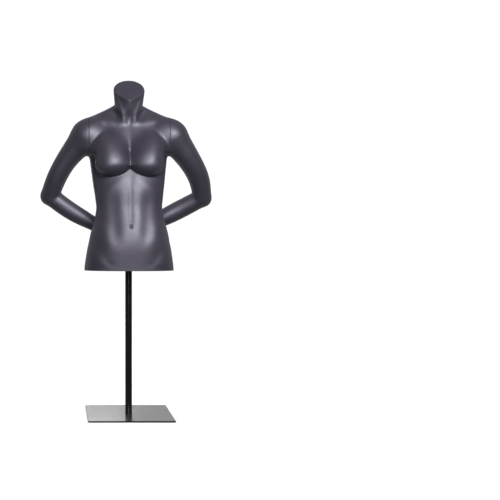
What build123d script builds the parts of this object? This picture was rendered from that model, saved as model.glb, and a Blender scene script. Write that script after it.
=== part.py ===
from build123d import *
import math
import os

os.makedirs("parts", exist_ok=True)

# A female sports display mannequin: a hollow headless torso with both hands behind
# its back, standing on a pole over a flat square plate. The figure faces -Y, so its
# left side is +X. The origin is on the pole's axis, on the floor.

# Base, in millimetres.
FELT_THICK = 1.0
FELT_SIDE = 297.0
PLATE_SIDE = 305.0
PLATE_THICK = 4.4
PLATE_CORNER = 1.5
BOLT_RADIUS = 5.0
BOLT_HEAD_RADIUS = 9.4
BOLT_HEAD_HEIGHT = 4.2
BOLT_LENGTH = 24.0
HEX_RADIUS = 3.4
HEX_DEPTH = 2.6

# Pole and the socket that turns on it.
POLE_RADIUS = 12.5
POLE_WALL = 1.5
POLE_IN_TORSO = 130.0
PLUG_LENGTH = 14.0
FOOT_NUT_LENGTH = 20.0
RUNNING_GAP = 0.05
BUSH_WALL = 2.0
BUSH_CAP = 3.0
BUSH_LENGTH = 60.0
SOCKET_WALL = 3.0
SOCKET_CAP = 4.0
FLANGE_SIDE = 84.0
FLANGE_THICK = 4.0
FLANGE_CORNER = 8.0
SOCKET_SCREW_SPACING = 62.0
SCREW_RADIUS = 2.5

# Torso shell.
TORSO_BASE = 523.0
WALL = 4.0
FACE_WALL = 10.0
PANEL_RECESS = 8.0
PANEL_THICK = 12.0
PANEL_SEAT = 2.5
SEAM_X = 145.0
SEAM_GAP = 0.3
NECK_POINT = (0.0, -27.0, 646.5)
NECK_TILT = 52.0
BREAST_CENTRE = (66.0, -62.0, 383.0)
BREAST_RADII = (61.0, 57.0, 57.0)
CHEST_CENTRE = (61.0, -45.0, 422.0)
CHEST_RADII = (57.0, 36.0, 80.0)

# The trunk's cross-sections: height above its cut edge, half width, front, back and
# squareness, where 2 is an ellipse.
TRUNK = (
    (0, 161.5, -118, 94, 2.3),
    (20, 160, -118, 93.5, 2.3),
    (60, 154, -121, 92, 2.3),
    (110, 145, -120, 78, 2.3),
    (170, 130, -108, 54, 2.3),
    (230, 119, -97, 50, 2.4),
    (290, 126, -92, 74, 2.5),
    (350, 134, -78, 98, 2.6),
    (400, 141, -66, 111, 2.6),
    (435, 154, -60, 110, 2.5),
    (470, 176, -54, 104, 2.3),
    (505, 184, -45, 94, 2.1),
    (532, 174, -38, 86, 2.0),
    (553, 146, -38, 78, 2.0),
    (570, 110, -42, 68, 2.0),
    (585, 80, -48, 57, 2.0),
    (602, 60, -57, 46, 2.0),
    (630, 54, -68, 33, 2.0),
    (665, 57, -82, 20, 2.0),
    (705, 61, -99, 6, 2.0),
)

# Shoulder joint on each side: a magnet in the arm holds on to a steel plate in the
# torso, and two dowels carry the weight.
SHOULDER_Y = 4.0
SHOULDER_H = 490.0
SHOULDER_PLATE_RADIUS = 32.0
SHOULDER_PLATE_THICK = 3.0
SHOULDER_MAGNET_RADIUS = 13.0
SHOULDER_MAGNET_THICK = 6.0
DOWEL_RADIUS = 4.0
DOWEL_HOLE_RADIUS = 4.4
DOWEL_SPACING = 40.0
DOWEL_BURIED = 9.0
DOWEL_PROUD = 12.0
PLATE_SCREW_SPACING = 46.0

# Arms: centre and radii of each cross-section from the shoulder to the elbow, then on
# to the wrist. The first radius lies along the body's depth.
LEFT_UPPER = (
    ((112, 2, 526), 44, 50),
    ((160, 12, 487), 52, 62),
    ((205, 26, 432), 48, 50),
    ((240, 44, 382), 42, 42),
    ((268, 72, 328), 37, 37),
    ((284, 103, 268), 35, 35),
)
LEFT_LOWER = (
    ((284, 103, 268), 35, 35),
    ((204, 131, 226), 32, 33),
    ((80, 134, 162), 19, 24),
)
RIGHT_UPPER = (
    ((-112, 2, 530), 44, 50),
    ((-158, 16, 489), 52, 62),
    ((-200, 32, 438), 48, 50),
    ((-234, 52, 390), 40, 40),
    ((-264, 78, 334), 37, 37),
    ((-287, 113, 277), 36, 36),
)
RIGHT_LOWER = (
    ((-287, 113, 277), 36, 36),
    ((-210, 109, 222), 32, 33),
    ((-84, 107, 150), 19, 24),
)
ELBOW_SPARE = 1.5
ARM_WALL = 4.0
WRIST_WALL = 8.0

# Wrist joint, and the hand beyond it.
WRIST_GAP = 0.3
WRIST_PLATE_RADIUS = 15.0
WRIST_PLATE_THICK = 2.0
WRIST_MAGNET_RADIUS = 5.0
WRIST_MAGNET_THICK = 5.0
WRIST_PIN_RADIUS = 2.0
WRIST_PIN_HOLE_RADIUS = 2.3
WRIST_PIN_SPACING = 19.0
WRIST_PIN_BURIED = 8.0
WRIST_PIN_PROUD = 6.0
PALM_START = 24.0
PALM_LENGTH = 78.0
PALM_WIDTH = 72.0
PALM_THICK = 23.0
FINGER_RADIUS = 7.6
FINGER_PITCH = 17.0
FINGER_LENGTHS = (38.0, 42.0, 39.0, 31.0)
OUTER_HAND_CURL = 20.0
INNER_HAND_CURL = 8.0
THUMB_RADIUS = 8.6
THUMB_LENGTH = 62.0
THUMB_SPREAD = 34.0


def save(shape, node):
    export_step(shape, f"parts/{node}.step")


def upright(radius, bottom, top, x=0.0, y=0.0):
    height = top - bottom
    return Pos(x, y, bottom + height / 2) * Cylinder(radius, height)


def along_x(radius, start, end, y, z):
    place = Pos((start + end) / 2, y, z) * Rot(0, 90, 0)
    return place * Cylinder(radius, abs(end - start))


# ---------------------------------------------------------------- base and pole

PLATE_BOTTOM = FELT_THICK
PLATE_TOP = PLATE_BOTTOM + PLATE_THICK
POLE_TOP = TORSO_BASE + POLE_IN_TORSO


def base_felt():
    sheet = Pos(0, 0, FELT_THICK / 2) * Box(FELT_SIDE, FELT_SIDE, FELT_THICK)
    return sheet - upright(BOLT_HEAD_RADIUS + 2, -1, FELT_THICK + 1)


def base_bolt_body():
    head_top = PLATE_BOTTOM + BOLT_HEAD_HEIGHT
    cone = Cone(BOLT_HEAD_RADIUS, BOLT_RADIUS, BOLT_HEAD_HEIGHT)
    head = Pos(0, 0, (PLATE_BOTTOM + head_top) / 2) * cone
    return head + upright(BOLT_RADIUS, head_top, PLATE_BOTTOM + BOLT_LENGTH)


def base_bolt():
    recess = extrude(RegularPolygon(HEX_RADIUS, 6), HEX_DEPTH)
    return base_bolt_body() - Pos(0, 0, PLATE_BOTTOM) * recess


def base_plate():
    slab = Pos(0, 0, PLATE_BOTTOM + PLATE_THICK / 2) * Box(PLATE_SIDE, PLATE_SIDE, PLATE_THICK)
    slab = fillet(slab.edges().filter_by(Axis.Z), PLATE_CORNER)
    slab = chamfer(slab.faces().sort_by(Axis.Z)[-1].edges(), 0.5)
    return slab - base_bolt_body() - upright(BOLT_RADIUS + 0.2, PLATE_BOTTOM, PLATE_TOP + 1)


def pole():
    bore = upright(POLE_RADIUS - POLE_WALL, PLATE_TOP - 1, POLE_TOP + 1)
    return upright(POLE_RADIUS, PLATE_TOP, POLE_TOP) - bore


def pole_foot_nut():
    body = upright(POLE_RADIUS - POLE_WALL, PLATE_TOP, PLATE_TOP + FOOT_NUT_LENGTH)
    return body - base_bolt_body()


def pole_top_plug():
    body = upright(POLE_RADIUS - POLE_WALL, POLE_TOP - PLUG_LENGTH, POLE_TOP)
    return body - upright(POLE_RADIUS - POLE_WALL - 2, POLE_TOP - PLUG_LENGTH - 1, POLE_TOP - 2)


BUSH_INNER = POLE_RADIUS + RUNNING_GAP
BUSH_OUTER = BUSH_INNER + BUSH_WALL
BUSH_TOP = POLE_TOP + RUNNING_GAP + BUSH_CAP
SOCKET_INNER = BUSH_OUTER + RUNNING_GAP
SOCKET_TOP = BUSH_TOP + RUNNING_GAP + SOCKET_CAP
PANEL_BOTTOM = TORSO_BASE + PANEL_RECESS
PANEL_TOP = PANEL_BOTTOM + PANEL_THICK


def swivel_bush():
    bottom = POLE_TOP - BUSH_LENGTH
    body = upright(BUSH_OUTER, bottom, BUSH_TOP)
    return body - upright(BUSH_INNER, bottom - 1, POLE_TOP + RUNNING_GAP)


def socket_screw_places():
    return GridLocations(SOCKET_SCREW_SPACING, SOCKET_SCREW_SPACING, 2, 2)


def pole_socket():
    flange_bottom = PANEL_BOTTOM - FLANGE_THICK
    flange = Pos(0, 0, flange_bottom + FLANGE_THICK / 2) * Box(FLANGE_SIDE, FLANGE_SIDE, FLANGE_THICK)
    flange = fillet(flange.edges().filter_by(Axis.Z), FLANGE_CORNER)
    body = flange + upright(SOCKET_INNER + SOCKET_WALL, flange_bottom, SOCKET_TOP)
    body -= upright(SOCKET_INNER, flange_bottom - 1, SOCKET_TOP - SOCKET_CAP)
    for place in socket_screw_places():
        body -= place * upright(SCREW_RADIUS, flange_bottom - 1, PANEL_BOTTOM + 1)
    return body


def socket_screws():
    seat = PANEL_BOTTOM - FLANGE_THICK
    screw = upright(4.6, seat - 2.8, seat) + upright(SCREW_RADIUS, seat, PANEL_TOP + 7)
    screw -= Pos(0, 0, seat - 2.8) * extrude(RegularPolygon(1.8, 6), 1.6)
    return Compound([place * screw for place in socket_screw_places()])


def socket_nuts():
    nut = Pos(0, 0, PANEL_TOP) * extrude(RegularPolygon(4.6, 6), 4.0)
    nut -= upright(SCREW_RADIUS, PANEL_TOP - 1, PANEL_TOP + 8)
    return Compound([place * nut for place in socket_screw_places()])


# ---------------------------------------------------------------- torso

OUTLINE_POINTS = 28


def trunk_face(height, half, front, back, squareness, inset, drop):
    middle = (front + back) / 2
    depth = (back - front) / 2 - inset
    points = []
    for step in range(OUTLINE_POINTS):
        angle = 2 * math.pi * step / OUTLINE_POINTS
        side = math.copysign(abs(math.sin(angle)) ** (2 / squareness), math.sin(angle))
        rear = math.copysign(abs(math.cos(angle)) ** (2 / squareness), math.cos(angle))
        points.append((side * (half - inset), middle + rear * depth, TORSO_BASE + height - drop))
    return Face(Wire([Spline(points, periodic=True)]))


def trunk_loft(inset):
    faces = []
    for height, half, front, back, squareness in TRUNK:
        drop = inset if height > 450 or height == 0 else 0.0
        faces.append(trunk_face(height, half, front, back, squareness, inset, drop))
    return loft(faces)


def ellipsoid(side, centre, radii, inset):
    x, y, h = centre
    rx, ry, rz = (radius - inset for radius in radii)
    return Pos(side * x, y, TORSO_BASE + h) * scale(Sphere(1), (rx, ry, rz))


def above_neck(inset):
    x, y, h = NECK_POINT
    tilt = math.radians(NECK_TILT)
    normal = (0, -math.sin(tilt), math.cos(tilt))
    plane = Plane(origin=(x, y, TORSO_BASE + h), z_dir=normal)
    return plane * Pos(0, 0, 150 - inset) * Box(400, 400, 300)


def torso_form(inset, seam):
    form = trunk_loft(inset)
    for side in (1, -1):
        form += ellipsoid(side, BREAST_CENTRE, BREAST_RADII, inset)
        form += ellipsoid(side, CHEST_CENTRE, CHEST_RADII, inset)
    form -= above_neck(inset)
    for side in (1, -1):
        outside = Pos(side * (seam + 50), 0, TORSO_BASE + 480) * Box(100, 400, 160)
        form -= outside
    return form


def panel_prism(bottom, top):
    height, half, front, back, squareness = TRUNK[1]
    face = trunk_face(height, half, front, back, squareness, PANEL_SEAT, height)
    return Pos(0, 0, bottom - TORSO_BASE) * extrude(face, top - bottom, dir=(0, 0, 1))


def dowel_heights():
    centre = TORSO_BASE + SHOULDER_H
    return (centre - DOWEL_SPACING / 2, centre + DOWEL_SPACING / 2)


def plate_screw_depths():
    return (SHOULDER_Y - PLATE_SCREW_SPACING / 2, SHOULDER_Y + PLATE_SCREW_SPACING / 2)


def shoulder_plate_blank(side):
    inner = side * (SEAM_X - SHOULDER_PLATE_THICK)
    return along_x(SHOULDER_PLATE_RADIUS, inner, side * SEAM_X, SHOULDER_Y, TORSO_BASE + SHOULDER_H)


def shoulder_screw(side, y):
    z = TORSO_BASE + SHOULDER_H
    head = Pos(side * (SEAM_X - 1.25), y, z) * Rot(0, side * 90, 0) * Cone(SCREW_RADIUS, 4.8, 2.5)
    return head + along_x(SCREW_RADIUS, side * (SEAM_X - 13), side * (SEAM_X - 2.5), y, z)


def dowel_hole(side, z):
    inner = side * (SEAM_X - FACE_WALL - 6)
    return along_x(DOWEL_HOLE_RADIUS, inner, side * (SEAM_X + 1), SHOULDER_Y, z)


def torso_shell():
    shell = torso_form(0.0, SEAM_X) - torso_form(WALL, SEAM_X - FACE_WALL)
    shell -= panel_prism(TORSO_BASE - 1, PANEL_TOP)
    for side in (1, -1):
        shell -= shoulder_plate_blank(side)
        for z in dowel_heights():
            shell -= dowel_hole(side, z)
        for y in plate_screw_depths():
            shell -= shoulder_screw(side, y)
    return shell


def torso_bottom_panel():
    panel = panel_prism(PANEL_BOTTOM, PANEL_TOP)
    panel -= upright(SOCKET_INNER + SOCKET_WALL, PANEL_BOTTOM - 1, PANEL_TOP + 1)
    for place in socket_screw_places():
        panel -= place * upright(SCREW_RADIUS, PANEL_BOTTOM - 1, PANEL_TOP + 1)
    return panel


def shoulder_plate(side):
    plate = shoulder_plate_blank(side)
    for z in dowel_heights():
        plate -= dowel_hole(side, z)
    for y in plate_screw_depths():
        plate -= shoulder_screw(side, y)
    return plate


def shoulder_screws(side):
    return Compound([shoulder_screw(side, y) for y in plate_screw_depths()])


# ---------------------------------------------------------------- arms

def unit(start, end):
    return (Vector(*end) - Vector(*start)).normalized()


def limb(stations, inset):
    centres = [Vector(*centre) + Vector(0, 0, TORSO_BASE) for centre, _, _ in stations]
    last = len(stations) - 1
    faces = []
    for index, (_, deep, tall) in enumerate(stations):
        direction = centres[min(index + 1, last)] - centres[max(index - 1, 0)]
        plane = Plane(origin=centres[index], x_dir=(0, 1, 0), z_dir=direction)
        faces.append((plane * Ellipse(deep - inset, tall - inset)).face())
    return loft(faces)


def wrist_plane(lower):
    before = Vector(*lower[-2][0])
    end = Vector(*lower[-1][0])
    origin = end + Vector(0, 0, TORSO_BASE)
    return Plane(origin=origin, x_dir=(0, 1, 0), z_dir=end - before)


def arm_form(side, upper, lower, inset, seam, wrist_short):
    (x, y, h), radius, _ = upper[-1]
    elbow = Pos(x, y, TORSO_BASE + h) * Sphere(radius + ELBOW_SPARE - inset)
    form = limb(upper, inset) + elbow + limb(lower, inset)
    form -= Pos(side * (seam - 100), 0, TORSO_BASE + 500) * Box(200, 400, 300)
    return form - wrist_plane(lower) * Pos(0, 0, 50 - wrist_short) * Box(100, 100, 100)


def shoulder_magnet(side):
    start = SEAM_X + SEAM_GAP
    end = start + SHOULDER_MAGNET_THICK
    z = TORSO_BASE + SHOULDER_H
    return along_x(SHOULDER_MAGNET_RADIUS, side * start, side * end, SHOULDER_Y, z)


def shoulder_dowels(side):
    start = side * (SEAM_X - DOWEL_PROUD)
    end = side * (SEAM_X + SEAM_GAP + DOWEL_BURIED)
    return [along_x(DOWEL_RADIUS, start, end, SHOULDER_Y, z) for z in dowel_heights()]


def wrist_disc(lower, radius, bottom, top, across=0.0):
    return wrist_plane(lower) * upright(radius, bottom, top, y=across)


def wrist_pin_offsets():
    return (-WRIST_PIN_SPACING / 2, WRIST_PIN_SPACING / 2)


def wrist_pin_hole(lower, across):
    return wrist_disc(lower, WRIST_PIN_HOLE_RADIUS, -WRIST_WALL - 4, 1, across)


def arm_shell(side, upper, lower):
    seam = SEAM_X + SEAM_GAP
    shell = arm_form(side, upper, lower, 0.0, seam, 0.0)
    shell -= arm_form(side, upper, lower, ARM_WALL, seam + FACE_WALL, -WRIST_WALL)
    shell -= shoulder_magnet(side)
    for dowel in shoulder_dowels(side):
        shell -= dowel
    shell -= wrist_disc(lower, WRIST_PLATE_RADIUS, -WRIST_PLATE_THICK, 1)
    for across in wrist_pin_offsets():
        shell -= wrist_pin_hole(lower, across)
    return shell


def wrist_plate(lower):
    plate = wrist_disc(lower, WRIST_PLATE_RADIUS, -WRIST_PLATE_THICK, 0)
    for across in wrist_pin_offsets():
        plate -= wrist_pin_hole(lower, across)
    return plate


def wrist_magnet(lower):
    return wrist_disc(lower, WRIST_MAGNET_RADIUS, WRIST_GAP, WRIST_GAP + WRIST_MAGNET_THICK)


def wrist_pins(lower):
    end = WRIST_GAP + WRIST_PIN_BURIED
    return [wrist_disc(lower, WRIST_PIN_RADIUS, -WRIST_PIN_PROUD, end, y) for y in wrist_pin_offsets()]


# ---------------------------------------------------------------- hands


def capsule(radius, length):
    rod = Pos(0, 0, length / 2) * Cylinder(radius, length + 2 * radius)
    return fillet(rod.edges().filter_by(GeomType.CIRCLE), radius * 0.97)


def palm(wrist_deep, wrist_tall):
    end = PALM_START + PALM_LENGTH
    sections = (
        (WRIST_GAP, wrist_deep, wrist_tall),
        (PALM_START, PALM_THICK * 0.6, PALM_WIDTH * 0.38),
        (PALM_START + PALM_LENGTH / 2, PALM_THICK / 2, PALM_WIDTH / 2),
        (end, PALM_THICK * 0.42, PALM_WIDTH * 0.47),
    )
    return loft([(Plane.XY.offset(z) * Ellipse(deep, tall)).face() for z, deep, tall in sections])


def finger(offset, length, curl):
    base = Pos(0, offset, PALM_START + PALM_LENGTH - FINGER_RADIUS)
    first = base * capsule(FINGER_RADIUS, length)
    tip = base * Pos(0, 0, length) * Rot(0, curl, 0) * capsule(FINGER_RADIUS - 0.4, length * 0.72)
    return first + tip


def thumb(toward):
    place = Pos(0, toward * PALM_WIDTH * 0.3, PALM_START) * Rot(-toward * THUMB_SPREAD, 0, 0)
    return place * capsule(THUMB_RADIUS, THUMB_LENGTH)


def hand(lower, toward_thumb, curl):
    _, deep, tall = lower[-1]
    form = palm(deep, tall)
    for index, length in enumerate(FINGER_LENGTHS):
        form += finger(toward_thumb * (1.5 - index) * FINGER_PITCH, length, curl)
    form += thumb(toward_thumb)
    form = wrist_plane(lower) * form
    form -= wrist_magnet(lower)
    for pin in wrist_pins(lower):
        form -= pin
    return form


# ---------------------------------------------------------------- write every piece

SIDES = (
    ("left", 1, LEFT_UPPER, LEFT_LOWER, -1, OUTER_HAND_CURL),
    ("right", -1, RIGHT_UPPER, RIGHT_LOWER, 1, INNER_HAND_CURL),
)


def main():
    save(base_felt(), "base_felt")
    save(base_plate(), "base_plate")
    save(base_bolt(), "base_bolt")
    save(pole(), "pole")
    save(pole_foot_nut(), "pole_foot_nut")
    save(pole_top_plug(), "pole_top_plug")
    save(swivel_bush(), "swivel_bush")
    save(pole_socket(), "pole_socket")
    save(socket_screws(), "socket_screws")
    save(socket_nuts(), "socket_nuts")
    save(torso_shell(), "torso_shell")
    save(torso_bottom_panel(), "torso_bottom_panel")
    for name, side, upper, lower, toward_thumb, curl in SIDES:
        save(shoulder_plate(side), f"{name}_shoulder_plate")
        save(shoulder_screws(side), f"{name}_shoulder_screws")
        save(arm_shell(side, upper, lower), f"{name}_arm_shell")
        save(shoulder_magnet(side), f"{name}_shoulder_magnet")
        save(Compound(shoulder_dowels(side)), f"{name}_shoulder_dowels")
        save(wrist_plate(lower), f"{name}_wrist_plate")
        save(hand(lower, toward_thumb, curl), f"{name}_hand")
        save(wrist_magnet(lower), f"{name}_wrist_magnet")
        save(Compound(wrist_pins(lower)), f"{name}_wrist_pins")


main()
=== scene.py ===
import math

import bmesh
import bpy
import numpy as np
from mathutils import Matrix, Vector


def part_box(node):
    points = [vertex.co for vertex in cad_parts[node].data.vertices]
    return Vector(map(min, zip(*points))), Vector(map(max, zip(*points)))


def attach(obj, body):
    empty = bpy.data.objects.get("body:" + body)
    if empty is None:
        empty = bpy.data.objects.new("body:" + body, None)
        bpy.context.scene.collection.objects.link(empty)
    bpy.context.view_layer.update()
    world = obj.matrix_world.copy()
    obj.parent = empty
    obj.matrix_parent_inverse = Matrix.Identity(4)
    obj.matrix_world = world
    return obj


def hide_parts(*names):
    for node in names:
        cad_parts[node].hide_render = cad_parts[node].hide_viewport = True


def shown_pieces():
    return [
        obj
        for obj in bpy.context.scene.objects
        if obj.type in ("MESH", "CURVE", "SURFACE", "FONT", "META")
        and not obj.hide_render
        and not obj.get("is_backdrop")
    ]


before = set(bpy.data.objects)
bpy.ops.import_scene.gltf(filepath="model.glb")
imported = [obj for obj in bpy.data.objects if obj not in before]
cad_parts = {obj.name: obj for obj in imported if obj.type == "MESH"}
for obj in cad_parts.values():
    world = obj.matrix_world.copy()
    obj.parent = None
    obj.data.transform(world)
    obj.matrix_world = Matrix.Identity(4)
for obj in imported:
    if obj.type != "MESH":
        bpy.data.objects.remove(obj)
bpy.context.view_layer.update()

# The figure is sculpted in millimetres in its own coordinates: x to its left, y to its
# back and h up from its bottom cut. BASE is the height of that cut above the floor.
MM = 0.001
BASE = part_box("torso_shell")[0].z / MM
# The shoulder cuts lie SEAM to each side of the middle, and a cut piece stands SEAM_GAP off its neighbour.
SEAM = 145.0
SEAM_GAP = 0.3
# The cell of the sculpting grid.
STEP = 2.4
REAL = np.float32


# ---------------------------------------------------------------- sculpting kit


def smooth_min(a, b, blend):
    overlap = np.clip(blend - np.abs(a - b), 0, None) / blend
    return np.minimum(a, b) - overlap ** 3 * blend / 6


def smooth_max(a, b, blend):
    return -smooth_min(-a, -b, blend)


def ramp(value, start, end):
    t = np.clip((value - start) / (end - start), 0, 1)
    return t * t * (3 - 2 * t)


def curve(keys, values):
    """A natural cubic spline through (keys, values), held flat beyond its ends."""
    keys = np.asarray(keys, float)
    values = np.asarray(values, float)
    last = len(keys) - 1
    gap = np.diff(keys)
    rows = np.eye(last + 1)
    right = np.zeros(last + 1)
    for i in range(1, last):
        rows[i, i - 1 : i + 2] = gap[i - 1], 2 * (gap[i - 1] + gap[i]), gap[i]
        right[i] = 3 * ((values[i + 1] - values[i]) / gap[i] - (values[i] - values[i - 1]) / gap[i - 1])
    c = np.linalg.solve(rows, right)
    d = np.diff(c) / (3 * gap)
    b = np.diff(values) / gap - gap * (2 * c[:-1] + c[1:]) / 3

    def at(query):
        query = np.clip(query, keys[0], keys[-1])
        i = np.clip(np.searchsorted(keys, query) - 1, 0, last - 1)
        t = query - keys[i]
        return (values[i] + t * (b[i] + t * (c[i] + t * d[i]))).astype(REAL)

    return at


def ellipsoid(p, centre, radii):
    q = p - np.asarray(centre, REAL)
    radii = np.asarray(radii, REAL)
    near = np.sqrt(((q / radii) ** 2).sum(-1))
    slope = np.sqrt(((q / (radii * radii)) ** 2).sum(-1)) + REAL(1e-9)
    return near * (near - 1) / slope


def along(p, a, b):
    """How far along the line from a to b each point lies, from 0 to 1, and how far off it."""
    a = np.asarray(a, REAL)
    b = np.asarray(b, REAL)
    t = np.clip(((p - a) @ (b - a)) / ((b - a) @ (b - a)), 0, 1)
    q = p - a - t[:, None] * (b - a)
    return t, np.sqrt((q * q).sum(-1))


def taper(p, a, b, start, end):
    """A round-ended limb from a to b, its radius running from start to end."""
    t, off = along(p, a, b)
    return off - (start + (end - start) * t * t * (3 - 2 * t))


def tube(p, stations, deepen=1.0, samples=12):
    """A limb on one smooth curve through its stations, each a point and a radius, drawn out in depth."""
    points = np.array([point for point, _ in stations], float)
    steps = np.concatenate(([0], np.cumsum(np.linalg.norm(np.diff(points, axis=0), axis=1))))
    axes = [curve(steps, points[:, i]) for i in range(3)]
    radius = curve(steps, [radius for _, radius in stations])

    def centre(s):
        return np.stack([axis(s) for axis in axes], -1)

    places = np.linspace(0, steps[-1], samples).astype(REAL)
    gaps = np.stack([((p - here) ** 2).sum(-1) for here in centre(places)])
    s = places[np.argmin(gaps, axis=0)]
    for _ in range(4):
        ahead = centre(s + REAL(1)) - centre(s - REAL(1))
        ahead /= np.sqrt((ahead * ahead).sum(-1, keepdims=True)) + REAL(1e-9)
        s = np.clip(s + ((p - centre(s)) * ahead).sum(-1), 0, REAL(steps[-1]))
    off = (p - centre(s)) / np.array((1, deepen, 1), REAL)
    return np.sqrt((off * off).sum(-1)) - radius(s)


def mound(p, centre, radii):
    """A soft bump: 1 at its centre, fading over radii."""
    q = (p - np.asarray(centre, REAL)) / np.asarray(radii, REAL)
    return np.exp(-(q * q).sum(-1))


def line(p, points, width):
    """A soft ridge: 1 on the line through points, fading over width, with round ends."""
    best = None
    for a, b in zip(points, points[1:]):
        _, off = along(p, a, b)
        best = off if best is None else np.minimum(best, off)
    return np.exp(-((best / width) ** 2))


def surface(field, low, high, step, block=8):
    """The surface where field is 0, as (vertices, quads), by surface nets on the blocks near it."""
    low = np.asarray(low, float)
    size = np.ceil((np.asarray(high, float) - low) / (step * block)).astype(int) * block + 1
    blocks = (size - 1) // block
    index = np.stack(np.meshgrid(*[np.arange(n) for n in blocks], indexing="ij"), -1).reshape(-1, 3)
    centre = field((low + (index + 0.5) * step * block).astype(REAL))
    near = np.abs(centre) < step * block * 1.25 + 12
    grid = np.full(size, 1e3, REAL)
    for i, j, k in index[~near & (centre < 0)] * block:
        grid[i : i + block + 1, j : j + block + 1, k : k + block + 1] = -1e3
    local = np.stack(np.meshgrid(*[np.arange(block + 1)] * 3, indexing="ij"), -1).reshape(-1, 3)
    todo = index[near]
    for start in range(0, len(todo), 400):
        ids = (todo[start : start + 400, None, :] * block + local[None]).reshape(-1, 3)
        grid[tuple(ids.T)] = field((low + ids * step).astype(REAL))
    inside = grid < 0
    cells = size - 1
    corners = [np.array((i, j, k)) for i in (0, 1) for j in (0, 1) for k in (0, 1)]
    count = np.zeros(cells, np.int8)
    for i, j, k in corners:
        count += inside[i : i + cells[0], j : j + cells[1], k : k + cells[2]]
    cell = np.argwhere((count > 0) & (count < 8))
    number = np.full(cells, -1, np.int64)
    number[tuple(cell.T)] = np.arange(len(cell))
    total = np.zeros((len(cell), 3))
    hits = np.zeros(len(cell))
    for axis in range(3):
        for corner in corners:
            if corner[axis]:
                continue
            other = corner.copy()
            other[axis] = 1
            a = grid[tuple((cell + corner).T)]
            b = grid[tuple((cell + other).T)]
            cross = (a < 0) != (b < 0)
            spot = np.tile(corner.astype(float), (len(cell), 1))
            spot[:, axis] += np.where(cross, a / np.where(cross, a - b, 1), 0)
            total += spot * cross[:, None]
            hits += cross
    vertices = low + (cell + total / hits[:, None]) * step
    quads = []
    for axis in range(3):
        u, v = (axis + 1) % 3, (axis + 2) % 3
        first = [slice(None)] * 3
        second = [slice(None)] * 3
        first[axis] = slice(0, size[axis] - 1)
        second[axis] = slice(1, size[axis])
        edge = np.argwhere(inside[tuple(first)] != inside[tuple(second)])
        keep = (edge[:, u] > 0) & (edge[:, v] > 0) & (edge[:, u] < cells[u]) & (edge[:, v] < cells[v])
        edge = edge[keep]
        du = np.eye(3, dtype=int)[u]
        dv = np.eye(3, dtype=int)[v]
        ring = (edge - du - dv, edge - dv, edge, edge - du)
        quad = np.stack([number[tuple(q.T)] for q in ring], 1)
        flip = ~inside[tuple(first)][tuple(edge.T)]
        quad[flip] = quad[flip][:, ::-1]
        quads.append(quad)
    return vertices, np.concatenate(quads)


def settle(field, vertices, rounds=3, eps=0.6):
    """Moves the vertices on to the surface where field is 0."""
    probes = np.array([(1, -1, -1), (-1, -1, 1), (-1, 1, -1), (1, 1, 1)], REAL)
    v = vertices.astype(REAL)
    for _ in range(rounds):
        parts = [field(v + REAL(eps) * q) for q in probes]
        slope = sum(d[:, None] * q for d, q in zip(parts, probes)) / (4 * eps)
        level = sum(parts) / 4
        square = np.maximum((slope * slope).sum(-1, keepdims=True), 0.05)
        v = v - (level[:, None] * slope / square).astype(REAL)
    return v


# ---------------------------------------------------------------- the figure's form

# The trunk's cross-sections: height, half width, front, back and squareness.
TRUNK = np.array((
    (-40, 161.0, -117, 93, 2.3),
    (0, 161.5, -118, 94, 2.3),
    (50, 155.5, -121, 90, 2.3),
    (110, 145.0, -121, 74, 2.2),
    (170, 129.5, -108, 50, 2.15),
    (230, 118.5, -97, 48, 2.15),
    (290, 126.0, -92, 74, 2.25),
    (350, 134.0, -78, 98, 2.4),
    (410, 141.0, -65, 111, 2.5),
    (460, 139.0, -57, 105, 2.4),
    (505, 120.0, -41, 92, 2.3),
    (545, 95.0, -23, 79, 2.1),
    (575, 50.0, -5, 60, 2.0),
))
HALF, FRONT, BACK, SQUARE = (curve(TRUNK[:, 0], TRUNK[:, i]) for i in (1, 2, 3, 4))

NECK_CUT = (0.0, -27.0, 645.5)
NECK_TILT = math.radians(52.0)

# Each arm's skeleton: a point and a radius at each station.
ARMS = {
    "left": {
        "side": 1,
        "cap": ((141, 4, 486), (66, 48, 65)),
        "upper": (
            ((164, 15, 482), 54), ((235, 41, 390), 41), ((268, 71, 332), 38), ((284, 103, 269), 33.5),
        ),
        "lower": (
            ((284, 103, 269), 33), ((204, 128, 226), 34.5), ((124, 132, 185), 28.5), ((80, 134, 162), 17),
        ),
    },
    "right": {
        "side": -1,
        "cap": ((135, 8, 485), (59, 50, 67)),
        "upper": (
            ((154, 21, 488), 54), ((230, 53, 397), 39), ((262, 76, 340), 37), ((287, 112, 277), 34.5),
        ),
        "lower": (
            ((287, 112, 277), 34), ((211, 111, 221), 33), ((128, 108, 174), 26), ((84, 107, 150), 17),
        ),
    },
}


def trunk(p):
    x, y, h = np.abs(p[:, 0]), p[:, 1], p[:, 2]
    half, front, back, square = HALF(h), FRONT(h), BACK(h), SQUARE(h)
    middle = (front + back) / 2
    ratio = ((x / half) ** square + (np.abs(y - middle) / ((back - front) / 2)) ** square) ** (1 / square)
    reach = np.sqrt(x * x + (y - middle) ** 2)
    off = np.where(reach < 1, -half / 2, reach - reach / (ratio + REAL(1e-6)))
    return smooth_max(off * REAL(0.9), h - 590, 60)


def neck(p):
    """Round behind, and a blunt V in front that fades towards the throat."""
    x, y, h = np.abs(p[:, 0]), p[:, 1], p[:, 2]
    t = np.clip((h - 560) / 150, -0.4, 1.3)
    middle = 8 - 60 * t
    wide = 47 + 16 * t
    deep = np.where(y < middle, 47 + 2 * t, 51 + 5 * t)
    square = np.where(y < middle, 2.0 - 0.85 * ramp(h, 560, 615), 2.1)
    ratio = ((x / wide) ** square + (np.abs(y - middle) / deep) ** square) ** (1 / square)
    return (ratio - 1) * np.minimum(wide, deep) * 0.93


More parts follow.
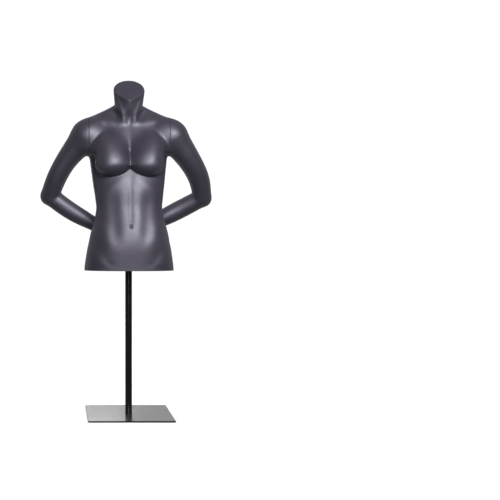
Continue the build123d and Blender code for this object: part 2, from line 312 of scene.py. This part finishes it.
BREAST = (66.0, -63.0, 377.0)


def breast(q):
    """An egg: full and tight below, drawn out above towards the shoulder, and wider to the inside."""
    h = q[:, 2] - BREAST[2]
    above = np.clip(h, 0, None)
    drawn = above * above / (above + 50)
    x = q[:, 0] - BREAST[0] - 0.16 * drawn
    y = q[:, 1] - BREAST[1] - 0.36 * drawn
    rx = np.where(x < 0, 71 - 7 * ramp(h, 0, -25), 57)
    rz = np.where(h < 0, 43, 112)
    near = np.sqrt((x / rx) ** 2 + (y / 56) ** 2 + (h / rz) ** 2)
    slope = np.sqrt((x / rx ** 2) ** 2 + (y / 56 ** 2) ** 2 + (h / rz ** 2) ** 2) + 1e-9
    return (near * (near - 1) / slope).astype(REAL)


def front_relief(p, q):
    """Height in mm added on the front: muscles, ribs and folds. q is p with x mirrored."""
    y, h = p[:, 1], p[:, 2]
    front = ramp(y, 20, -30) * ramp(h, 5, 30)
    flat = q * np.array((1, 0, 1), REAL)
    rise = np.zeros(len(p), REAL)
    # the two columns of the belly muscle, the groove between them and the hollow beside them
    rise -= 1.7 * line(flat, ((0, 0, 178), (0, 0, 345)), 9) * ramp(h, 335, 280)
    rise += 1.6 * line(flat, ((28, 0, 90), (31, 0, 320)), 21) * ramp(h, 80, 160) * ramp(h, 330, 270)
    hollow = line(flat, ((50, 0, 60), (58, 0, 190), (66, 0, 300)), 22)
    rise -= 2.6 * hollow * ramp(h, 60, 140) * ramp(h, 300, 230)
    # navel, with the soft swell round it
    rise += 1.4 * mound(flat, (0, 0, 148), (26, 1, 28))
    rise -= 6.0 * mound(flat, (0, 0, 157), (4.6, 1, 7.5))
    rise += 1.5 * mound(flat, (0, 0, 153), (2.2, 1, 3.0))
    # hip bones, the folds of the groin and the tops of the thighs
    hip = line(flat, ((98, 0, 175), (88, 0, 120), (62, 0, 60)), 24)
    rise += 2.4 * hip * ramp(h, 45, 115) * ramp(h, 195, 150)
    rise -= 2.0 * line(flat, ((132, 0, 100), (104, 0, 66), (70, 0, 10)), 17)
    rise += 2.2 * mound(flat, (103, 0, 26), (28, 1, 34))
    # edge of the ribs
    rise += 2.0 * line(flat, ((26, 0, 330), (64, 0, 298), (108, 0, 256)), 20)
    rise -= 1.0 * mound(flat, (0, 0, 326), (26, 1, 20))
    # collar bones, and the groove between chest and shoulder
    rise += 0.9 * line(flat, ((30, 0, 532), (54, 0, 535), (98, 0, 547), (138, 0, 560)), 14)
    rise -= 1.0 * line(flat, ((28, 0, 518), (66, 0, 519), (104, 0, 531)), 13)
    rise -= 2.6 * line(flat, ((100, 0, 518), (120, 0, 490), (143, 0, 455)), 19)
    return rise * front


def back_relief(p, q):
    y, h = p[:, 1], p[:, 2]
    behind = ramp(y, 10, 55)
    flat = q * np.array((1, 0, 1), REAL)
    rise = np.zeros(len(p), REAL)
    rise -= 5.5 * line(flat, ((0, 0, 135), (0, 0, 330), (0, 0, 450)), 24) * ramp(h, 560, 400)
    rise += 2.0 * line(flat, ((44, 0, 100), (46, 0, 350)), 46)
    rise += 4.5 * line(flat, ((54, 0, 455), (62, 0, 405), (86, 0, 380)), 25)
    rise += 2.5 * line(flat, ((56, 0, 472), (118, 0, 512)), 17)
    rise -= 2.5 * line(flat, ((52, 0, 348), (104, 0, 332)), 24)
    rise -= 1.5 * mound(flat, (34, 0, 108), (9, 1, 9))
    return rise * behind


def torso_body(p):
    q = p.copy()
    q[:, 0] = np.sqrt(q[:, 0] ** 2 + REAL(12))
    h = p[:, 2]
    d = trunk(q)
    d = smooth_min(d, taper(q, (17, 25, 541), (148, 25, 489), 38, 57), 45)
    d = smooth_min(d, taper(q, (28, 32, 591), (112, 32, 532), 22, 34), 38)
    d = smooth_min(d, neck(q), 20)
    d = smooth_min(d, taper(p, (0, 6, 650), (0, 28, 565), 26, 40), 28)
    # the seat, and the chest muscle that ends in the fold of the armpit
    d = smooth_min(d, ellipsoid(q, (60, 30, 22), (86, 64, 92)), 26)
    d = smooth_min(d, taper(q, (92, -36, 440), (152, -4, 452), 30, 26), 24)
    flat = q * np.array((1, 0, 1), REAL)
    d += 7.0 * line(flat, ((0, 0, 42), (0, 0, 84)), 17) * ramp(p[:, 1], 30, 70)
    d -= front_relief(p, q) + back_relief(p, q)
    d = smooth_min(d, breast(q), 7 + 43 * ramp(h, 362, 450))
    d += 1.5 * line(flat, ((0, 0, 385), (0, 0, 425)), 8) * ramp(p[:, 1], -5, -45)
    d += 2.2 * line(flat, ((0, 0, 430), (0, 0, 525)), 15) * ramp(p[:, 1], -5, -22)
    # tendons of the throat, the pit between them and the hollows behind the collar bones
    tendon = line(q, ((15, -30, 520), (26, -33, 562), (41, -30, 604), (50, -34, 636)), 10)
    d -= 5.5 * tendon * ramp(h, 655, 590) * ramp(h, 518, 550)
    d += 4.0 * mound(q, (0, -34, 552), (12, 28, 22))
    d += 5.0 * mound(q, (46, -16, 557), (13, 28, 24))
    return d


def upper_arm(p, arm):
    centre, radii = arm["cap"]
    return smooth_min(tube(p, arm["upper"], 1.14), ellipsoid(p, centre, radii), 30)


def shoulder_blend(h):
    """How softly arm and trunk run together: wide over the shoulder, tight in the armpit."""
    return 12 + 18 * ramp(h, 440, 500)


def mirrored(p, arm):
    return p * np.array((arm["side"], 1, 1), REAL)


def neck_plane(p):
    normal = np.array((0, -math.sin(NECK_TILT), math.cos(NECK_TILT)), REAL)
    return (p - np.array(NECK_CUT, REAL)) @ normal


# ---------------------------------------------------------------- meshes


def new_object(name, vertices, faces):
    mesh = bpy.data.meshes.new(name)
    mesh.from_pydata((vertices * MM).tolist(), [], [tuple(f) for f in faces])
    mesh.update()
    piece = bpy.data.objects.new(name, mesh)
    bpy.context.scene.collection.objects.link(piece)
    return piece


def sculpt(name, field, low, high, step):
    vertices, quads = surface(field, low, high, step)
    vertices = settle(field, vertices).astype(float)
    vertices[:, 2] += BASE
    piece = new_object(name, vertices, quads)
    piece.data.shade_smooth()
    return piece


def cut(piece, point, normal, chamfer, above=-1e9):
    """Cuts off what lies beyond the plane, closes the cut with a flat face and chamfers its edge."""
    normal = Vector(normal).normalized()
    chamfer *= MM
    work = bmesh.new()
    work.from_mesh(piece.data)
    verts = [v for v in work.verts if v.co.z > above * MM]
    faces = {f for v in verts for f in v.link_faces}
    edges = {e for f in faces for e in f.edges}
    verts = {v for f in faces for v in f.verts}
    place = Vector(point) * MM - normal * chamfer
    geom = list(verts) + list(edges) + list(faces)
    bmesh.ops.bisect_plane(work, geom=geom, plane_co=place, plane_no=normal, clear_outer=True)
    rim = [e for e in work.edges if e.is_boundary]
    caps = bmesh.ops.contextual_create(work, geom=rim)["faces"]
    bmesh.ops.recalc_face_normals(work, faces=work.faces)
    for edge in rim:
        edge.smooth = False
    ring = bmesh.ops.inset_region(work, faces=caps, thickness=chamfer, depth=0.0)["faces"]
    for vertex in {v for f in caps for v in f.verts}:
        vertex.co += normal * chamfer
    for face in caps + ring:
        face.smooth = False
    work.to_mesh(piece.data)
    work.free()



# ---------------------------------------------------------------- hands

# Sections of the forearm and hand along the line from elbow to wrist: distance past the
# wrist, half depth and half width.
HAND_SECTIONS = np.array((
    (-90, 12.0, 15.0),
    (-50, 18.0, 23.5),
    (-18, 18.5, 24.5),
    (4, 17.5, 24.0),
    (24, 16.0, 29.5),
    (48, 13.0, 35.0),
    (72, 12.0, 37.0),
    (98, 11.0, 36.0),
    (130, 10.0, 34.0),
))
HAND_DEPTH, HAND_WIDTH = (curve(HAND_SECTIONS[:, 0], HAND_SECTIONS[:, i]) for i in (1, 2))
KNUCKLE_LINE = 94.0
FINGER_PITCH = 16.4
# Each finger: its place across the hand, where it starts, its length, radius and share of the curl.
FINGERS = (
    (-1.5, 94, 64, 8.3, 0.8),
    (-0.5, 99, 71, 8.5, 0.95),
    (0.5, 96, 66, 8.3, 1.1),
    (1.5, 88, 52, 7.7, 1.3),
)


def wrist_frame(arm):
    """The wrist's place and its axes: along the forearm, towards the thumb and out of the palm."""
    before, end = (np.array(station[0], float) for station in arm["lower"][-2:])
    forward = (end - before) / np.linalg.norm(end - before)
    palm = np.array((0.0, 1.0, 0.0)) - forward[1] * forward
    palm /= np.linalg.norm(palm)
    return end, np.stack((forward, np.cross(palm, forward), palm))


def finger(q, across, start, length, radius, curl):
    """Three joints' worth of capsules that curl towards the palm. q is (along, thumb side, palm side)."""
    shares = (0.46, 0.30, 0.24)
    point = np.array((start - 8.0, across, 0.0))
    pitch = 0.35 * curl
    whole = None
    for index, share in enumerate(shares):
        ahead = np.array((math.cos(pitch), -across * 0.0018, math.sin(pitch)))
        after = point + ahead * (length * share + (8.0 if index == 0 else 0.0))
        bone = taper(q, point, after, radius - 0.45 * index, radius - 0.45 * (index + 1))
        whole = bone if whole is None else smooth_min(whole, bone, 4)
        point = after
        pitch += curl
    return whole


def hand(p, arm, curl):
    place, axes = wrist_frame(arm)
    q = ((p - place.astype(REAL)) @ axes.T.astype(REAL)).astype(REAL)
    along_hand, thumb_side, palm_side = q[:, 0], q[:, 1], q[:, 2]
    deep, wide = HAND_DEPTH(along_hand), HAND_WIDTH(along_hand)
    cup = 2.5 * ramp(along_hand, 20, 60) * (np.abs(thumb_side) / 34) ** 2
    ratio = (np.abs(thumb_side / wide) ** 2.3 + np.abs((palm_side - cup) / deep) ** 2.3) ** (1 / 2.3)
    palm = (ratio - 1) * np.minimum(deep, wide) * 0.95
    palm = smooth_max(palm, along_hand - (KNUCKLE_LINE + 4), 12)
    palm = smooth_max(palm, -90 - along_hand, 12)
    palm -= 2.0 * mound(q, (38, 24, 13), (24, 13, 12))
    palm -= 1.5 * mound(q, (44, -26, 12), (26, 12, 12))
    digits = None
    for place_across, start, length, radius, share in FINGERS:
        across = -place_across * FINGER_PITCH
        one = finger(q, across, start, length, radius, curl * share)
        digits = one if digits is None else smooth_min(digits, one, 2.5)
    d = smooth_min(palm, digits, 9)
    thumb = taper(q, (20, 17, 4), (56, 42, 9), 13, 10.0)
    thumb = smooth_min(thumb, taper(q, (56, 42, 9), (86, 51, 11), 10.0, 8.2), 5)
    return smooth_min(d, thumb, 12)


HAND_CURL = {"left": 0.20, "right": 0.09}


def past_wrist(p, arm):
    place, axes = wrist_frame(arm)
    return (p - place.astype(REAL)) @ axes[0].astype(REAL)


def whole_arm(name):
    arm = ARMS[name]
    elbow, elbow_radius = arm["lower"][0]
    olecranon = np.array(elbow) + np.array((0.62, 0.55, -0.56)) * (elbow_radius - 8)

    def field(p):
        """p has the arm on its +x side."""
        d = smooth_min(upper_arm(p, arm), tube(p, arm["lower"]), 12)
        d = smooth_min(d, hand(p, arm, HAND_CURL[name]), 10)
        d -= 5.0 * mound(p, olecranon, (16, 16, 16))
        body = torso_body(p) + 200 * ramp(p[:, 2], 410, 378)
        near = np.where(p[:, 0] < 230, smooth_min(d, body, shoulder_blend(p[:, 2])), d)
        shoulder = np.maximum(near, 139 - p[:, 0])
        d = np.where(p[:, 2] > 375, shoulder, d)
        return np.maximum(d, past_wrist(p, arm) - 6)

    return field


def hand_only(name):
    arm = ARMS[name]

    def field(p):
        return np.maximum(hand(p, arm, HAND_CURL[name]), -6 - past_wrist(p, arm))

    return field


# ---------------------------------------------------------------- pieces


def drum(name, radius, start, end, segments=72):
    """A closed cylinder between two points, as a cutter."""
    start, end = Vector(start) * MM, Vector(end) * MM
    work = bmesh.new()
    depth = (end - start).length
    bmesh.ops.create_cone(
        work, cap_ends=True, segments=segments, radius1=radius * MM, radius2=radius * MM, depth=depth
    )
    turn = (end - start).to_track_quat("Z", "Y").to_matrix().to_4x4()
    turn.translation = (start + end) / 2
    work.transform(turn)
    mesh = bpy.data.meshes.new(name)
    work.to_mesh(mesh)
    work.free()
    piece = bpy.data.objects.new(name, mesh)
    bpy.context.scene.collection.objects.link(piece)
    return piece


def subtract(piece, cutters):
    for cutter in cutters:
        modifier = piece.modifiers.new("cut", "BOOLEAN")
        modifier.operation = "DIFFERENCE"
        modifier.solver = "FAST"
        modifier.object = cutter
    bpy.context.view_layer.update()
    done = piece.evaluated_get(bpy.context.evaluated_depsgraph_get())
    mesh = bpy.data.meshes.new_from_object(done)
    piece.modifiers.clear()
    piece.data = mesh
    for cutter in cutters:
        bpy.data.objects.remove(cutter)


# The middle of the shoulder fittings, as depth and height, and the heights of the dowels.
SHOULDER = (4.0, BASE + 490.0)
DOWELS = (BASE + 470.0, BASE + 510.0)
PANEL_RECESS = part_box("torso_bottom_panel")[1].z / MM
# Radii of the seats and holes: a seat fits its fitting closely, a hole leaves it room.
PLATE_SEAT = 32.15
MAGNET_SEAT = 13.1
DOWEL_SEAT = 4.05
DOWEL_HOLE = 4.4
WRIST_PLATE_SEAT = 15.1
WRIST_MAGNET_SEAT = 5.1
PIN_SEAT = 2.05
PIN_HOLE = 2.3
# The wrist pins stand this far to each side of the wrist's middle.
PIN_SPREAD = 9.5
# Chamfers of the neck cut, the shoulder cuts and the other cuts.
NECK_EDGE = 2.4
SEAM_EDGE = 1.2
FINE_EDGE = 0.8


def seat_cutter():
    """The recess that the bottom panel closes: the trunk's outline, drawn in by a rim's width."""
    square = float(SQUARE(np.array([20.0]))[0])
    low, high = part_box("torso_bottom_panel")
    half = high.x / MM
    front, back = low.y / MM, high.y / MM
    middle, deep = (front + back) / 2, (back - front) / 2
    ring = []
    for i in range(160):
        angle = 2 * math.pi * i / 160
        c, s = math.cos(angle), math.sin(angle)
        ring.append((
            half * math.copysign(abs(c) ** (2 / square), c),
            middle + deep * math.copysign(abs(s) ** (2 / square), s),
        ))
    bottom, top = BASE - 2, PANEL_RECESS
    vertices = np.array([(x, y, z) for z in (bottom, top) for x, y in ring])
    count = len(ring)
    sides = [(i, (i + 1) % count, count + (i + 1) % count, count + i) for i in range(count)]
    faces = sides + [tuple(range(count))[::-1], tuple(range(count, 2 * count))]
    return new_object("seat", vertices, faces)


def make_torso():
    def field(p):
        d = torso_body(p)
        high = p[:, 2] > 320
        for arm in ARMS.values():
            side = arm["side"]
            near = smooth_min(d, upper_arm(mirrored(p, arm), arm), shoulder_blend(p[:, 2]))
            d = np.where(high & (p[:, 0] * side > 60), near, d)
        d = np.where(high, np.maximum(d, np.abs(p[:, 0]) - 151), d)
        d = np.maximum(d, neck_plane(p) - 8)
        return np.maximum(d, -8 - p[:, 2])

    # a whole number of cells and a half to each side, so that one row lies on the middle line
    half_width = (math.ceil(170 / STEP) + 0.5) * STEP
    torso = sculpt("torso_figure", field, (-half_width, -150, -16), (half_width, 130, 736), STEP)
    cut(torso, (0, 0, BASE), (0, 0, -1), FINE_EDGE)
    tilt = (0, -math.sin(NECK_TILT), math.cos(NECK_TILT))
    cut(torso, (NECK_CUT[0], NECK_CUT[1], NECK_CUT[2] + BASE), tilt, NECK_EDGE)
    for side in (1, -1):
        cut(torso, (side * SEAM, 0, 0), (side, 0, 0), SEAM_EDGE, above=BASE + 320)
    cutters = [seat_cutter()]
    y, z = SHOULDER
    for side in (1, -1):
        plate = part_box("left_shoulder_plate" if side > 0 else "right_shoulder_plate")
        inner = min(abs(plate[0].x), abs(plate[1].x)) / MM
        ends = ((side * inner, y, z), (side * (SEAM + 5), y, z))
        cutters.append(drum("plate_seat", PLATE_SEAT, *ends, 96))
        for height in DOWELS:
            ends = ((side * 129, y, height), (side * (inner + 1), y, height))
            cutters.append(drum("dowel_hole", DOWEL_HOLE, *ends, 32))
    subtract(torso, cutters)
    return torso


def mirror(piece):
    """Mirrors a mesh from the +x side to the -x side."""
    work = bmesh.new()
    work.from_mesh(piece.data)
    for vertex in work.verts:
        vertex.co.x = -vertex.co.x
    bmesh.ops.reverse_faces(work, faces=work.faces)
    work.to_mesh(piece.data)
    work.free()


def make_arm(name):
    """The arm and hand are sculpted on the +x side, cut apart at the wrist, and mirrored for the right."""
    arm = ARMS[name]
    place, axes = wrist_frame(arm)
    place = place + np.array((0, 0, BASE))
    forward, _, palm = axes
    pins = [place + np.cross(palm, forward) * across for across in (-PIN_SPREAD, PIN_SPREAD)]
    shell = sculpt(f"{name}_arm_figure", whole_arm(name), (40, -75, 92), (332, 180, 590), STEP * 0.85)
    gripper = sculpt(f"{name}_hand_figure", hand_only(name), (-110, 40, -10), (130, 180, 240), STEP * 0.7)
    inner = SEAM + SEAM_GAP
    cut(shell, (inner, 0, 0), (-1, 0, 0), SEAM_EDGE, above=BASE + 376)
    cut(shell, place, forward, FINE_EDGE)
    cut(gripper, place + forward * SEAM_GAP, -forward, FINE_EDGE)
    y, z = SHOULDER
    magnet = [abs(corner.x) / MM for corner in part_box(f"{name}_shoulder_magnet")]
    cutters = [drum("magnet_seat", MAGNET_SEAT, (inner - 2, y, z), (max(magnet), y, z))]
    for height in DOWELS:
        ends = ((inner - 2, y, height), (inner + 9, y, height))
        cutters.append(drum("dowel_seat", DOWEL_SEAT, *ends, 32))
    ends = (place - forward * 2, place + forward * 4)
    cutters.append(drum("wrist_seat", WRIST_PLATE_SEAT, *ends))
    for pin in pins:
        cutters.append(drum("pin_hole", PIN_HOLE, pin - forward * 12, pin - forward, 24))
    subtract(shell, cutters)
    ends = (place - forward * 2, place + forward * 5.3)
    cutters = [drum("magnet_seat", WRIST_MAGNET_SEAT, *ends)]
    for pin in pins:
        cutters.append(drum("pin_seat", PIN_SEAT, pin - forward * 2, pin + forward * 8.3, 24))
    subtract(gripper, cutters)
    if arm["side"] < 0:
        mirror(shell)
        mirror(gripper)
    return shell, gripper


# ---------------------------------------------------------------- materials


class Nodes:
    """A short way to write a node tree."""

    def __init__(self, name):
        self.material = bpy.data.materials.new(name)
        self.material.use_nodes = True
        self.tree = self.material.node_tree
        self.tree.nodes.clear()

    def add(self, kind, inputs=None, **settings):
        node = self.tree.nodes.new("ShaderNode" + kind)
        for key, value in settings.items():
            setattr(node, key, value)
        for key, value in (inputs or {}).items():
            if isinstance(value, bpy.types.NodeSocket):
                self.tree.links.new(value, node.inputs[key])
            else:
                node.inputs[key].default_value = value
        return node


def noise(t, place, scale, detail=3.0, roughness=0.5):
    inputs = {"Vector": place, "Scale": scale, "Detail": detail, "Roughness": roughness}
    return t.add("TexNoise", inputs).outputs["Fac"]


def spread(t, value, low, high):
    """Maps a noise value, mostly 0.3 to 0.7, to the range from low to high."""
    return t.add("MapRange", {"Value": value, 1: 0.3, 2: 0.7, 3: low, 4: high}).outputs["Result"]


def bump(t, height, strength, distance, base=None):
    inputs = {"Height": height, "Strength": strength, "Distance": distance}
    if base is not None:
        inputs["Normal"] = base
    return t.add("Bump", inputs).outputs["Normal"]


def tint(t, value, dark, light):
    ramp_node = t.add("ValToRGB", {"Fac": value})
    ramp_node.color_ramp.elements[0].position = 0.3
    ramp_node.color_ramp.elements[1].position = 0.7
    ramp_node.color_ramp.elements[0].color = (*dark, 1)
    ramp_node.color_ramp.elements[1].color = (*light, 1)
    return ramp_node.outputs["Color"]


def shader(t, **inputs):
    names = {key.replace("_", " "): value for key, value in inputs.items()}
    surface_node = t.add("BsdfPrincipled", names)
    t.add("OutputMaterial", {"Surface": surface_node.outputs["BSDF"]})
    return t.material


def figure_material():
    """Satin sprayed coat over glass fibre: slate grey with a little violet, and a fine orange peel."""
    t = Nodes("satin_slate_coat")
    place = t.add("TexCoord").outputs["Object"]
    colour = tint(t, noise(t, place, 9.0), (0.064, 0.057, 0.084), (0.082, 0.074, 0.105))
    rough = spread(t, noise(t, place, 22.0), 0.46, 0.52)
    peel = bump(t, noise(t, place, 620.0, 2.0), 0.06, 0.0004)
    wave = bump(t, noise(t, place, 45.0, 2.0), 0.04, 0.001, peel)
    gloss = (0.88, 0.85, 1.0, 1.0)
    return shader(
        t, Base_Color=colour, Roughness=rough, Normal=wave, IOR=1.8, Specular_IOR_Level=1.0,
        Specular_Tint=gloss,
    )


def gloss_black(name, rough, ior):
    """Stoved black powder coat with a faint texture."""
    t = Nodes(name)
    place = t.add("TexCoord").outputs["Object"]
    colour = tint(t, noise(t, place, 30.0), (0.010, 0.010, 0.011), (0.015, 0.015, 0.017))
    uneven = spread(t, noise(t, place, 60.0), rough - 0.03, rough + 0.04)
    peel = bump(t, noise(t, place, 900.0, 2.0), 0.03, 0.0003)
    return shader(
        t, Base_Color=colour, Roughness=uneven, Normal=peel, IOR=ior, Specular_IOR_Level=1.0
    )


def plated_steel(name, dark, light, rough, grain):
    t = Nodes(name)
    place = t.add("TexCoord").outputs["Object"]
    colour = tint(t, noise(t, place, 40.0, 4.0), dark, light)
    streak = t.add("Mapping", {"Vector": place, "Scale": grain}).outputs["Vector"]
    uneven = spread(t, noise(t, streak, 300.0, 4.0), rough - 0.06, rough + 0.08)
    marks = bump(t, noise(t, streak, 500.0, 3.0), 0.12, 0.0002)
    return shader(t, Base_Color=colour, Metallic=1.0, Roughness=uneven, Normal=marks)


def moulded(name, dark, light, rough):
    t = Nodes(name)
    place = t.add("TexCoord").outputs["Object"]
    colour = tint(t, noise(t, place, 35.0), dark, light)
    uneven = spread(t, noise(t, place, 80.0), rough - 0.05, rough + 0.05)
    spark = bump(t, noise(t, place, 1500.0, 2.0), 0.2, 0.0003)
    return shader(t, Base_Color=colour, Roughness=uneven, Normal=spark)


def painted_board():
    """Fibreboard under one coat of black paint: flat, with raised fibres."""
    t = Nodes("painted_board")
    place = t.add("TexCoord").outputs["Object"]
    colour = tint(t, noise(t, place, 120.0, 5.0), (0.012, 0.012, 0.013), (0.026, 0.025, 0.026))
    uneven = spread(t, noise(t, place, 160.0, 4.0), 0.55, 0.75)
    fibres = bump(t, noise(t, place, 700.0, 5.0), 0.35, 0.0005)
    return shader(t, Base_Color=colour, Roughness=uneven, Normal=fibres)


def pressed_felt():
    t = Nodes("pressed_felt")
    place = t.add("TexCoord").outputs["Object"]
    fibres = noise(t, place, 900.0, 6.0, 0.7)
    colour = tint(t, fibres, (0.010, 0.010, 0.011), (0.045, 0.044, 0.047))
    fluff = bump(t, fibres, 0.8, 0.0008)
    return shader(t, Base_Color=colour, Roughness=0.95, Normal=fluff, Sheen_Weight=0.3, Sheen_Roughness=0.5)


def dress(node, material):
    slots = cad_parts[node].data.materials
    slots.clear()
    slots.append(material)


# ---------------------------------------------------------------- the object

coat = figure_material()
torso = make_torso()
torso.data.materials.clear()
torso.data.materials.append(coat)
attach(torso, "torso")
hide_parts("torso_shell")
for side_name in ("left", "right"):
    arm_piece, hand_piece = make_arm(side_name)
    for piece, body, node in (
        (arm_piece, f"{side_name}_arm", f"{side_name}_arm_shell"),
        (hand_piece, f"{side_name}_hand", f"{side_name}_hand"),
    ):
        piece.data.materials.clear()
        piece.data.materials.append(coat)
        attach(piece, body)
        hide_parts(node)

zinc = plated_steel("zinc_plated_steel", (0.50, 0.51, 0.53), (0.66, 0.67, 0.69), 0.32, (1, 1, 1))
screw_steel = plated_steel("screw_steel", (0.42, 0.42, 0.43), (0.60, 0.60, 0.61), 0.28, (1, 1, 6))
nickel = plated_steel("nickel_plate", (0.62, 0.60, 0.57), (0.74, 0.72, 0.68), 0.14, (1, 1, 1))
pole_black = gloss_black("pole_black", 0.20, 1.6)
plate_black = gloss_black("plate_black", 0.22, 2.5)
nylon = moulded("black_nylon", (0.010, 0.010, 0.010), (0.018, 0.018, 0.019), 0.5)
plastic = moulded("black_plastic", (0.012, 0.012, 0.013), (0.020, 0.020, 0.022), 0.42)
board = painted_board()
dress("base_felt", pressed_felt())
dress("base_plate", plate_black)
dress("base_bolt", zinc)
dress("pole", pole_black)
dress("pole_foot_nut", zinc)
dress("pole_top_plug", plastic)
dress("swivel_bush", nylon)
dress("pole_socket", zinc)
dress("socket_screws", screw_steel)
dress("socket_nuts", screw_steel)
dress("torso_bottom_panel", board)
for side_name in ("left", "right"):
    dress(f"{side_name}_shoulder_plate", zinc)
    dress(f"{side_name}_shoulder_screws", screw_steel)
    dress(f"{side_name}_shoulder_magnet", nickel)
    dress(f"{side_name}_shoulder_dowels", screw_steel)
    dress(f"{side_name}_wrist_plate", zinc)
    dress(f"{side_name}_wrist_magnet", nickel)
    dress(f"{side_name}_wrist_pins", screw_steel)

# ---------------------------------------------------------------- floor, light and camera


def stage_piece(name, work, material):
    mesh = bpy.data.meshes.new(name)
    work.to_mesh(mesh)
    work.free()
    piece = bpy.data.objects.new(name, mesh)
    bpy.context.scene.collection.objects.link(piece)
    piece.data.materials.append(material)
    piece.visible_diffuse = False
    piece.visible_glossy = False
    piece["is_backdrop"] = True
    return piece


def studio_floor():
    work = bmesh.new()
    bmesh.ops.create_circle(work, cap_ends=True, segments=96, radius=4.0)
    t = Nodes("white_floor")
    place = t.add("TexCoord").outputs["Object"]
    colour = tint(t, noise(t, place, 3.0), (0.90, 0.90, 0.90), (0.92, 0.92, 0.92))
    white = shader(t, Base_Color=colour, Roughness=0.9, Specular_IOR_Level=0.0)
    return stage_piece("studio_floor", work, white)


def studio_backdrop():
    """A white sweep all round, which only the camera sees, so that it doesn't light the object."""
    work = bmesh.new()
    bmesh.ops.create_icosphere(work, subdivisions=4, radius=20.0)
    bmesh.ops.reverse_faces(work, faces=work.faces)
    t = Nodes("white_backdrop")
    glow = t.add("Emission", {"Color": (1, 1, 1, 1), "Strength": 1.05})
    t.add("OutputMaterial", {"Surface": glow.outputs["Emission"]})
    backdrop = stage_piece("studio_backdrop", work, t.material)
    backdrop.visible_shadow = False


def floor_light(floor):
    """An even light from above that falls on the floor alone, so that the object leaves a soft shadow."""
    lamp = bpy.data.lights.new("floor_light", "SUN")
    lamp.angle = math.radians(100)
    lamp.energy = 3.9
    lamp_object = bpy.data.objects.new("floor_light", lamp)
    bpy.context.scene.collection.objects.link(lamp_object)
    lit = bpy.data.collections.new("floor_light_receivers")
    lit.objects.link(floor)
    lamp_object.light_linking.receiver_collection = lit


def softbox(name, place, target, width, height, power, receivers):
    """A rectangular light that falls on the collection of receivers alone."""
    lamp = bpy.data.lights.new(name, "AREA")
    lamp.shape = "RECTANGLE"
    lamp.size = width
    lamp.size_y = height
    lamp.energy = power
    lamp_object = bpy.data.objects.new(name, lamp)
    lamp_object.location = place
    lamp_object.rotation_euler = (Vector(target) - Vector(place)).to_track_quat("-Z", "Y").to_euler()
    bpy.context.scene.collection.objects.link(lamp_object)
    lamp_object.light_linking.receiver_collection = receivers


def studio_world(dim, bright):
    """A dim room, bright on the side behind the object."""
    world = bpy.data.worlds.new("studio")
    world.use_nodes = True
    tree = world.node_tree
    place = tree.nodes.new("ShaderNodeTexCoord")
    parts = tree.nodes.new("ShaderNodeSeparateXYZ")
    level = tree.nodes.new("ShaderNodeMapRange")
    level.interpolation_type = "SMOOTHSTEP"
    level.inputs["From Min"].default_value = -0.1
    level.inputs["From Max"].default_value = 0.75
    level.inputs["To Min"].default_value = dim
    level.inputs["To Max"].default_value = bright
    background = tree.nodes["Background"]
    background.inputs["Color"].default_value = (1, 1, 1, 1)
    tree.links.new(place.outputs["Generated"], parts.inputs["Vector"])
    tree.links.new(parts.outputs["Y"], level.inputs["Value"])
    tree.links.new(level.outputs["Result"], background.inputs["Strength"])
    bpy.context.scene.world = world


def photo_camera():
    """At the hips' height and a little to the figure's right, square to it, with the object off centre."""
    azimuth = math.radians(4.5)
    distance = 3.2
    height = 0.622
    camera = bpy.data.cameras.new("camera")
    camera.lens = 63.2
    camera.shift_x = 0.381
    camera.shift_y = -0.014
    camera.sensor_width = 36.0
    camera.clip_end = 60.0
    holder = bpy.data.objects.new("camera", camera)
    holder.location = (-distance * math.sin(azimuth), -distance * math.cos(azimuth), height)
    holder.rotation_euler = (math.radians(90), 0, 0)
    bpy.context.scene.collection.objects.link(holder)
    bpy.context.scene.camera = holder


studio_backdrop()
floor_light(studio_floor())
studio_world(0.02, 0.42)
lit_objects = bpy.data.collections.new("object_light_receivers")
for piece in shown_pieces():
    lit_objects.objects.link(piece)
plate_alone = bpy.data.collections.new("plate_light_receivers")
plate_alone.objects.link(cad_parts["base_plate"])
softbox("key_box", (0.7, -2.6, 2.15), (0, 0, 0.9), 1.3, 1.1, 51, lit_objects)
softbox("front_box", (-0.4, -3.0, 1.3), (0, 0, 0.9), 1.1, 1.2, 15, lit_objects)
softbox("back_box", (-0.5, 3.1, 1.5), (0, 0, 0.85), 1.5, 1.2, 14, lit_objects)
softbox("plate_box", (0, 3.4, 0.75), (0, 0, 0), 7.0, 1.9, 11, plate_alone)
photo_camera()
bpy.context.scene.view_settings.view_transform = "Standard"
